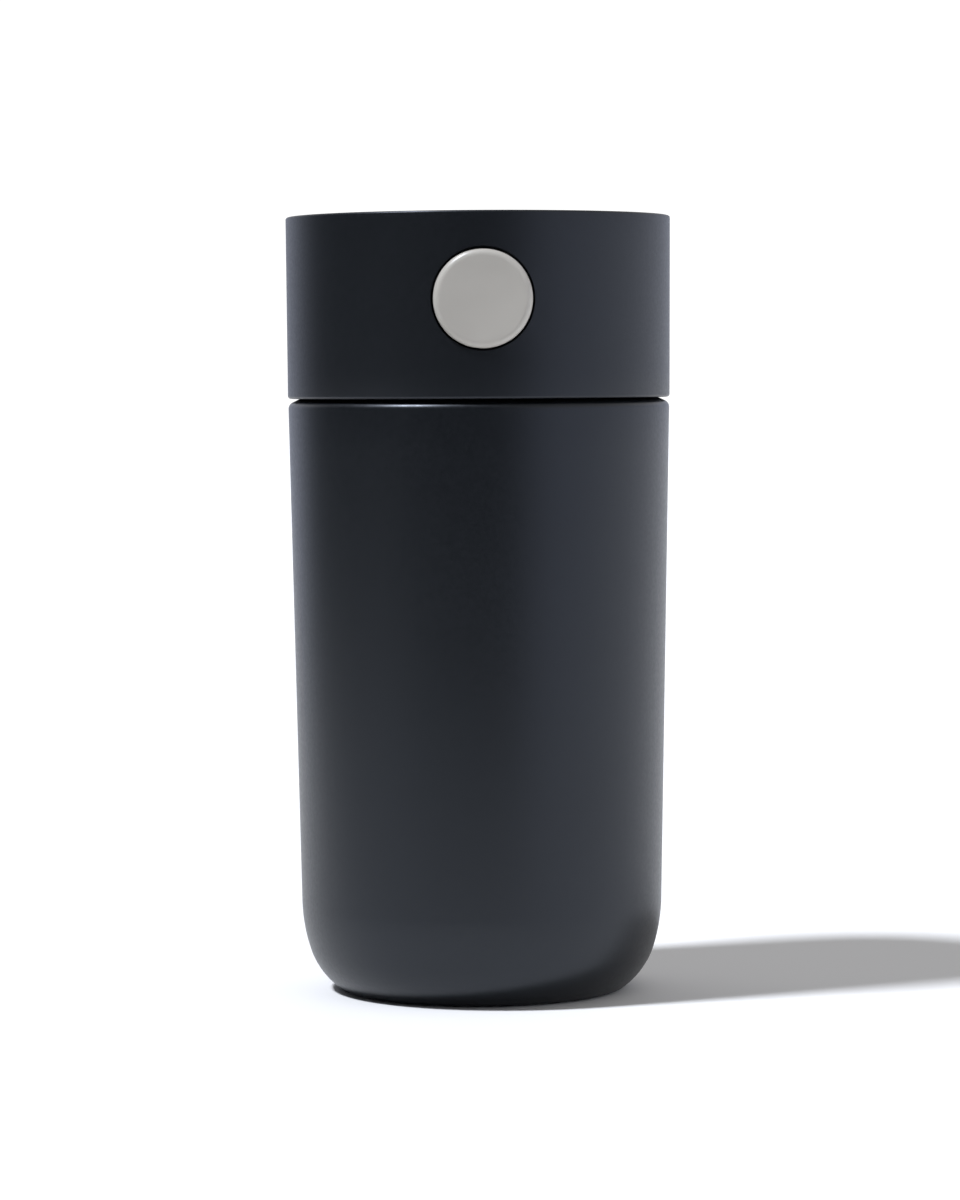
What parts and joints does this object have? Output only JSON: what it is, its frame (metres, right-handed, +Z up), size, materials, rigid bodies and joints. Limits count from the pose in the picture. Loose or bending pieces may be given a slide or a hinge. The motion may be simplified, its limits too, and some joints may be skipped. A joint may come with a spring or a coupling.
{
  "type": "insulated travel tumbler",
  "caption": "Insulated travel tumbler with a tapered charcoal body, a cylindrical screw lid with an open drinking rim and a round side push button.",
  "frame": {"origin": "centre of the foot pad's underside, on the table", "axes": "+Z up along the tumbler's axis, -Y towards the push button, +X to the right as seen by someone facing the button"},
  "size_m": [0.0802, 0.0808, 0.1617],
  "materials": {
    "coated_steel": "matte charcoal powder coat over stainless steel",
    "bare_steel": "electropolished stainless steel",
    "solder": "dull solder bead",
    "getter_metal": "sintered grey metal",
    "foil": "copper foil",
    "black_silicone": "matte black silicone",
    "clear_silicone": "milky silicone",
    "soft_plastic": "matte charcoal, fine texture",
    "core_plastic": "moulded dark grey polypropylene",
    "slider_plastic": "natural acetal",
    "button_plastic": "satin warm light grey",
    "screw_steel": "stainless steel",
    "spring_steel": "drawn stainless wire"
  },
  "bodies": {
    "mug": {"outer_shell": "coated_steel", "inner_liner": "bare_steel", "base_plate": "coated_steel", "vacuum_seal": "solder", "getter": "getter_metal", "liner_foil": "foil", "foot_pad": "black_silicone"},
    "lid_gasket": {"lid_gasket": "clear_silicone"},
    "lid": {"lid_shell": "soft_plastic", "lid_core": "core_plastic", "well_seal": "clear_silicone", "hub_cover": "core_plastic", "cover_gasket": "clear_silicone", "cover_screws": "screw_steel", "top_cap": "soft_plastic", "stem_seal": "black_silicone", "seal_retainer": "slider_plastic", "button_spring": "spring_steel"},
    "button": {"push_button": "button_plastic", "cam_slider": "slider_plastic", "button_seal": "black_silicone", "button_screw": "screw_steel"},
    "valve": {"valve_stem": "screw_steel", "cam_pin": "screw_steel", "valve_disc": "core_plastic", "valve_seal": "clear_silicone", "valve_screw": "screw_steel"}
  },
  "joints": [
    {"name": "lid_lift", "type": "slide", "parent": "mug", "child": "lid_gasket", "axis": [0, 0, 1], "range_m": [0, 0.036]},
    {"name": "lid_turn", "type": "hinge", "parent": "lid_gasket", "child": "lid", "pos_m": [0, 0, 0.12], "axis": [0, 0, 1], "range_deg": [0, 1080]},
    {"name": "button_press", "type": "slide", "parent": "lid", "child": "button", "axis": [0, 1, 0], "range_m": [0, 0.004], "stiffness_N_per_m": 1200, "springref_m": -0.004, "deforming": ["button_spring"]},
    {"name": "valve_drop", "type": "slide", "parent": "lid", "child": "valve", "axis": [0, 0, -1], "range_m": [0, 0.004]}
  ],
  "couplings": [
    {"joint": "lid_turn", "follows": "lid_lift", "rad_per_m": 523.6},
    {"joint": "valve_drop", "follows": "button_press", "ratio": 1}
  ]
}
